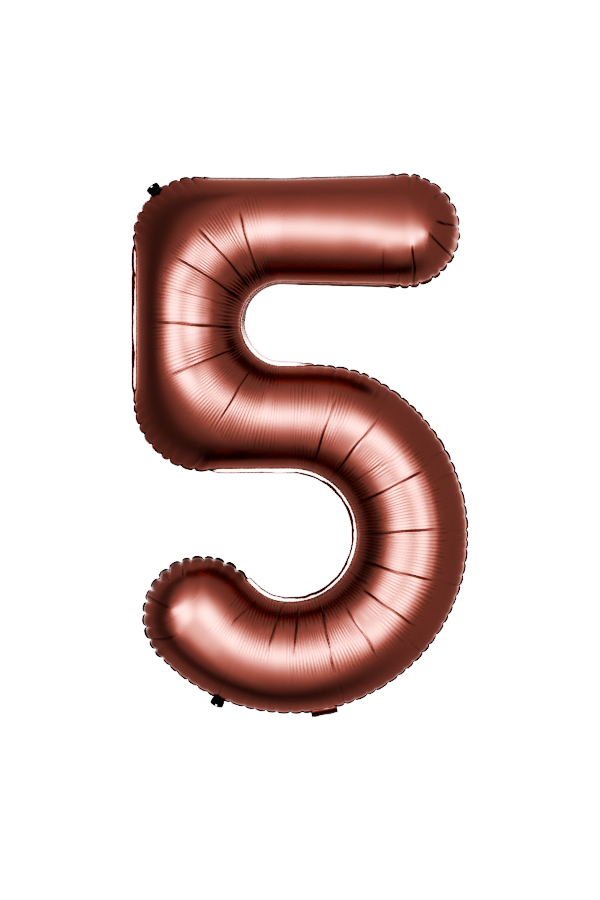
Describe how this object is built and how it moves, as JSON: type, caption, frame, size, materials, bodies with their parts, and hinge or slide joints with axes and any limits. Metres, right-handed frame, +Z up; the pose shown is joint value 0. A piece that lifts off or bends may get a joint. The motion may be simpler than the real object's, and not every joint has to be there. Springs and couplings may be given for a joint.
{
  "type": "foil number balloon",
  "caption": "Inflated foil balloon in the shape of the digit 5, with a flat welded seam, a folded filling neck with a self-sealing valve, and ribbon tabs.",
  "frame": {"origin": "centre of the ribbon hole in the top hang tab, in the seam's plane", "axes": "+Z up along the digit's height, +X to the right as the digit is read, -Y towards the reader, +Y along the ribbon hole"},
  "size_m": [0.5389, 0.1896, 0.8743],
  "materials": {
    "foil": "metallised rose-brown film, satin mirror",
    "weld": "pressed satin film",
    "valve_film": "milky translucent film",
    "release_coat": "matt printed coating",
    "tab_film": "glossy black film"
  },
  "bodies": {
    "balloon": {"front_foil": "foil", "back_foil": "foil", "seam_weld": "weld", "neck_front_ply": "foil", "neck_back_ply": "foil", "valve_front_film": "valve_film", "valve_back_film": "valve_film", "valve_side_welds": "weld", "valve_release_strip": "release_coat", "top_tab_base": "tab_film", "bottom_tab_base": "tab_film"},
    "tail": {"tail_front_ply": "foil", "tail_back_ply": "foil", "tail_side_welds": "weld", "tail_valve_front_film": "valve_film", "tail_valve_back_film": "valve_film"},
    "top_tab": {"top_tab_ear": "tab_film"},
    "bottom_tab": {"bottom_tab_ear": "tab_film"}
  },
  "joints": [
    {"name": "tail_fold", "type": "hinge", "parent": "balloon", "child": "tail", "pos_m": [0.27802, 0, -0.84767], "axis": [-0.9816, 0, -0.1908], "range_deg": [-10, 200]},
    {"name": "top_tab_fold", "type": "hinge", "parent": "balloon", "child": "top_tab", "pos_m": [0.00514, 0, -0.00613], "axis": [0.766, 0, 0.6428], "range_deg": [-100, 100]},
    {"name": "bottom_tab_fold", "type": "hinge", "parent": "balloon", "child": "bottom_tab", "pos_m": [0.1062, 0, -0.81925], "axis": [-0.9171, 0, 0.3987], "range_deg": [-100, 100]}
  ]
}
